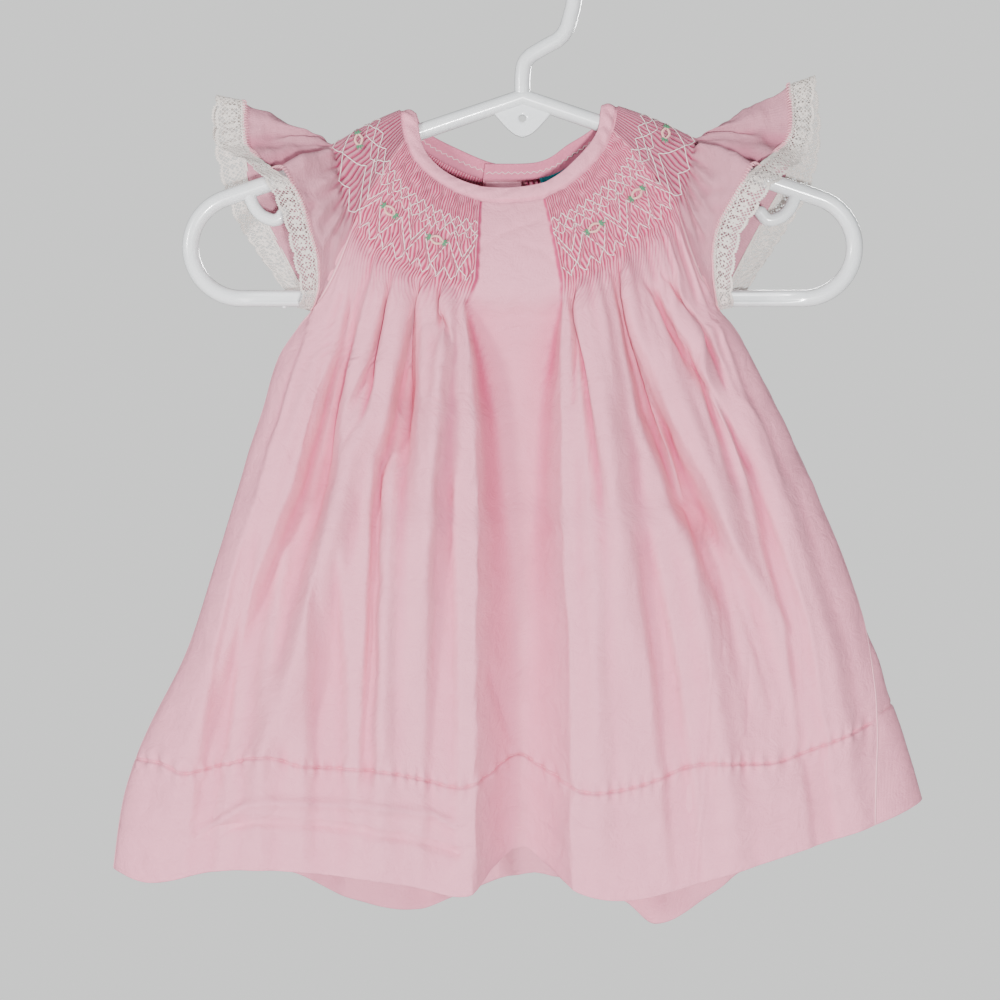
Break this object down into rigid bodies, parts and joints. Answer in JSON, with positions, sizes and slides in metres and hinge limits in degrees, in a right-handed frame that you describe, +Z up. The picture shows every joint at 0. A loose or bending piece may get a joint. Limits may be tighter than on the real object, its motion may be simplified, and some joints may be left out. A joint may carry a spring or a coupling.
{
  "type": "smocked baby dress on a child's hanger",
  "caption": "Baby's bishop dress of pink cotton with smocking round the neck, lace on the flutter sleeves and a full skirt, hung on a white child's hanger.",
  "frame": {"origin": "inside top of the hanger's hook", "axes": "+Z up, the front of the dress faces -Y, +X is to the right of someone who looks at the front"},
  "size_m": [0.3517, 0.0644, 0.4323],
  "materials": {
    "batiste": "matte",
    "binding": "matte",
    "lace": "matte",
    "plastic": "gloss",
    "button": "gloss",
    "label": "satin"
  },
  "bodies": {
    "root": {"hanger": "plastic", "front_panel": "batiste", "neck_binding": "binding", "back_panel_left": "batiste", "sleeve_left": "batiste", "lace_left": "lace", "back_panel_right": "batiste", "sleeve_right": "batiste", "lace_right": "lace", "back_placket": "batiste", "neck_label": "label", "button_1": "button", "button_2": "button", "button_3": "button"}
  },
  "joints": []
}
